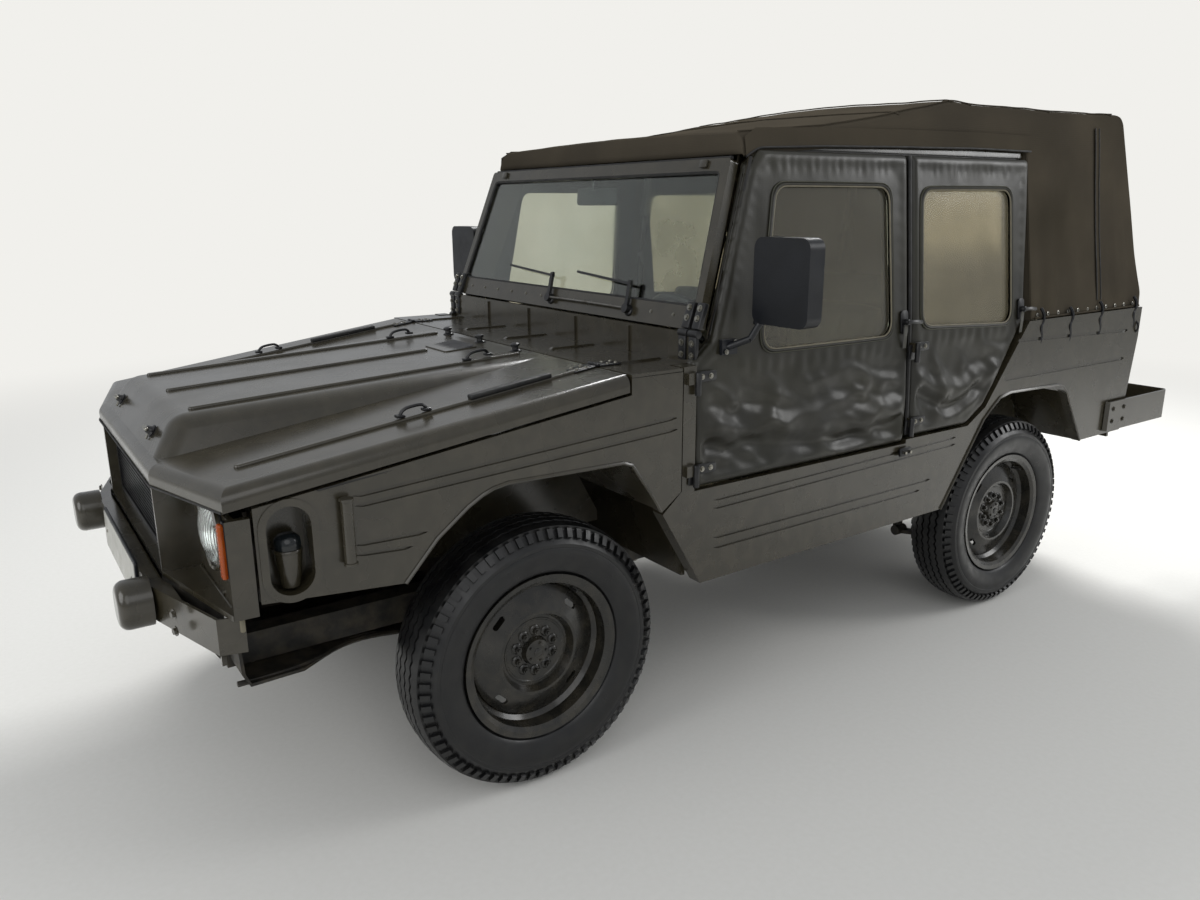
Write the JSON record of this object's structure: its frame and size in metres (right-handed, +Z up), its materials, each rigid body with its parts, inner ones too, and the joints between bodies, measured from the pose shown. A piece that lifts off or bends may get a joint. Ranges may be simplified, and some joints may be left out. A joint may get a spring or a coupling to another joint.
{
  "type": "army 4x4 car",
  "caption": "Light unarmed army car with drive to all wheels, a canvas top on bows, hinged side doors, a lifting bonnet, a drop-down tailgate and steered front wheels.",
  "frame": {"origin": "on the ground under the middle of the car's length and width", "axes": "+Y towards the rear of the car, +X towards its left side, +Z up"},
  "size_m": [1.972, 3.962, 1.8368],
  "materials": {
    "olive_paint": "satin olive paint",
    "chassis_black": "matt black paint",
    "tyre_rubber": "black rubber",
    "cast_metal": "as cast",
    "steel": "dull steel",
    "radiator_alloy": "dull",
    "black_metal": "satin black paint",
    "black_plastic": "matt",
    "lamp_glass": "clear lens",
    "amber": "clear amber",
    "red_lens": "red",
    "window_glass": "clear",
    "clear_sheet": "soft clear sheet",
    "canvas": "woven canvas",
    "seat_cloth": "coated cloth"
  },
  "bodies": {
    "root": {"body_sides": "olive_paint", "front_wings": "olive_paint", "front_panel": "olive_paint", "bumper_front": "olive_paint", "bumper_rear": "olive_paint", "cowl": "olive_paint", "windscreen_frame": "olive_paint", "floor_pan": "olive_paint", "frame_rails": "chassis_black", "cross_members": "chassis_black", "tow_points": "chassis_black", "wishbones": "chassis_black", "leaf_springs": "chassis_black", "skid_plate": "chassis_black", "seat_frames": "chassis_black", "fuel_tank": "chassis_black", "rear_hub_carriers": "chassis_black", "engine": "cast_metal", "drive_cases": "cast_metal", "drive_shafts": "steel", "exhaust": "steel", "top_bows": "steel", "radiator": "radiator_alloy", "grille": "black_metal", "wipers": "black_metal", "dashboard": "black_plastic", "headlamps": "lamp_glass", "side_lamps": "lamp_glass", "turn_lamps": "amber", "tail_lamps": "red_lens", "windscreen_glass": "window_glass", "curtain_window": "clear_sheet", "canvas_top": "canvas", "seat_cushions": "seat_cloth"},
    "steering_wheel": {"steering_wheel": "black_plastic"},
    "knuckle_left": {"knuckle_left": "chassis_black"},
    "knuckle_right": {"knuckle_right": "chassis_black"},
    "wheel_front_left": {"tyre_front_left": "tyre_rubber", "rim_front_left": "olive_paint"},
    "wheel_front_right": {"tyre_front_right": "tyre_rubber", "rim_front_right": "olive_paint"},
    "wheel_rear_left": {"tyre_rear_left": "tyre_rubber", "rim_rear_left": "olive_paint"},
    "wheel_rear_right": {"tyre_rear_right": "tyre_rubber", "rim_rear_right": "olive_paint"},
    "bonnet": {"bonnet": "olive_paint"},
    "tailgate": {"tailgate": "olive_paint"},
    "door_front_left": {"door_front_left": "olive_paint", "door_window_front_left": "clear_sheet", "mirror_left": "black_plastic"},
    "door_front_right": {"door_front_right": "olive_paint", "door_window_front_right": "clear_sheet", "mirror_right": "black_plastic"},
    "door_rear_left": {"door_rear_left": "olive_paint", "door_window_rear_left": "clear_sheet"},
    "door_rear_right": {"door_rear_right": "olive_paint", "door_window_rear_right": "clear_sheet"}
  },
  "joints": [
    {"name": "steer_left", "type": "hinge", "parent": "root", "child": "knuckle_left", "pos_m": [0.56, -1.055, 0.361], "axis": [0, 0, 1], "range_deg": [-28, 28]},
    {"name": "steer_right", "type": "hinge", "parent": "root", "child": "knuckle_right", "pos_m": [-0.56, -1.055, 0.361], "axis": [0, 0, 1], "range_deg": [-28, 28]},
    {"name": "steering_wheel_turn", "type": "hinge", "parent": "root", "child": "steering_wheel", "pos_m": [0.33, -0.235, 1.06], "axis": [0, 0.7968, 0.6042], "range_deg": [-476, 476]},
    {"name": "wheel_spin_front_left", "type": "hinge", "parent": "knuckle_left", "child": "wheel_front_left", "pos_m": [0.625, -1.055, 0.361], "axis": [1, 0, 0], "continuous": true},
    {"name": "wheel_spin_front_right", "type": "hinge", "parent": "knuckle_right", "child": "wheel_front_right", "pos_m": [-0.625, -1.055, 0.361], "axis": [1, 0, 0], "continuous": true},
    {"name": "wheel_spin_rear_left", "type": "hinge", "parent": "root", "child": "wheel_rear_left", "pos_m": [0.63, 0.962, 0.361], "axis": [1, 0, 0], "continuous": true},
    {"name": "wheel_spin_rear_right", "type": "hinge", "parent": "root", "child": "wheel_rear_right", "pos_m": [-0.63, 0.962, 0.361], "axis": [1, 0, 0], "continuous": true},
    {"name": "door_front_left_hinge", "type": "hinge", "parent": "root", "child": "door_front_left", "pos_m": [0.77, -0.615, 0.95], "axis": [0, 0, -1], "range_deg": [0, 75]},
    {"name": "door_front_right_hinge", "type": "hinge", "parent": "root", "child": "door_front_right", "pos_m": [-0.77, -0.615, 0.95], "axis": [0, 0, 1], "range_deg": [0, 75]},
    {"name": "door_rear_left_hinge", "type": "hinge", "parent": "root", "child": "door_rear_left", "pos_m": [0.77, 0.282, 0.95], "axis": [0, 0, -1], "range_deg": [0, 75]},
    {"name": "door_rear_right_hinge", "type": "hinge", "parent": "root", "child": "door_rear_right", "pos_m": [-0.77, 0.282, 0.95], "axis": [0, 0, 1], "range_deg": [0, 75]},
    {"name": "bonnet_hinge", "type": "hinge", "parent": "root", "child": "bonnet", "pos_m": [0, -0.823, 1.09], "axis": [-1, 0, 0], "range_deg": [0, 65]},
    {"name": "tailgate_hinge", "type": "hinge", "parent": "root", "child": "tailgate", "pos_m": [0, 1.669, 0.76], "axis": [-1, 0, 0], "range_deg": [0, 90]}
  ],
  "couplings": [
    {"joint": "steer_right", "follows": "steer_left", "ratio": 1},
    {"joint": "steering_wheel_turn", "follows": "steer_left", "ratio": 17}
  ]
}
